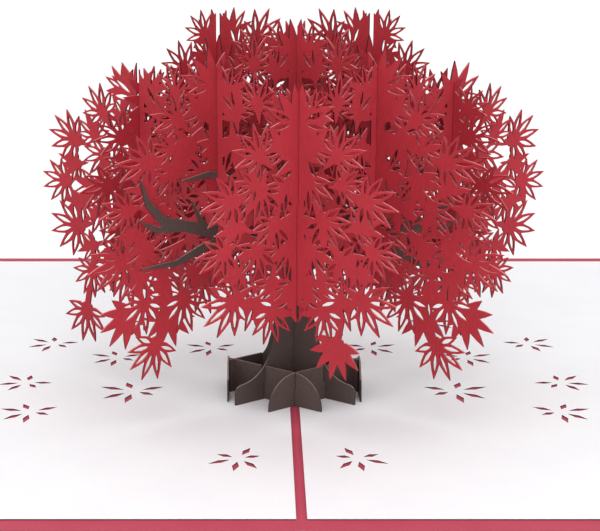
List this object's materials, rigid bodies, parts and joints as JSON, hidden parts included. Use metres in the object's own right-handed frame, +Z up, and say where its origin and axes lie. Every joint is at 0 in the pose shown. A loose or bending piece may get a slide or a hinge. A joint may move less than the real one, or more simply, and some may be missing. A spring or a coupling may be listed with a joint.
{
  "type": "pop up card",
  "caption": "Open pop-up card: a red cover with white leaf-cut linings and a slotted paper maple tree that stands on the fold.",
  "frame": {"origin": "middle of the open cover's underside, on the fold", "axes": "+X across the fold to the right page, +Y along the fold to the back, +Z up"},
  "size_m": [0.3, 0.2, 0.0909],
  "materials": {
    "cover_card": "matt dyed card",
    "lining_paper": "matt white paper",
    "bark_paper": "matt brown paper",
    "leaf_paper": "matt red paper"
  },
  "bodies": {
    "root": {"cover": "cover_card", "lining_left": "lining_paper", "lining_right": "lining_paper", "trunk_a": "bark_paper", "trunk_b": "bark_paper", "root_a_front": "bark_paper", "root_a_back": "bark_paper", "root_b_front": "bark_paper", "root_b_back": "bark_paper", "stay_left": "bark_paper", "stay_right": "bark_paper", "leaves_a_front": "leaf_paper", "leaves_a_middle": "leaf_paper", "leaves_a_back": "leaf_paper", "leaves_b_front": "leaf_paper", "leaves_b_middle": "leaf_paper", "leaves_b_back": "leaf_paper"}
  },
  "joints": []
}
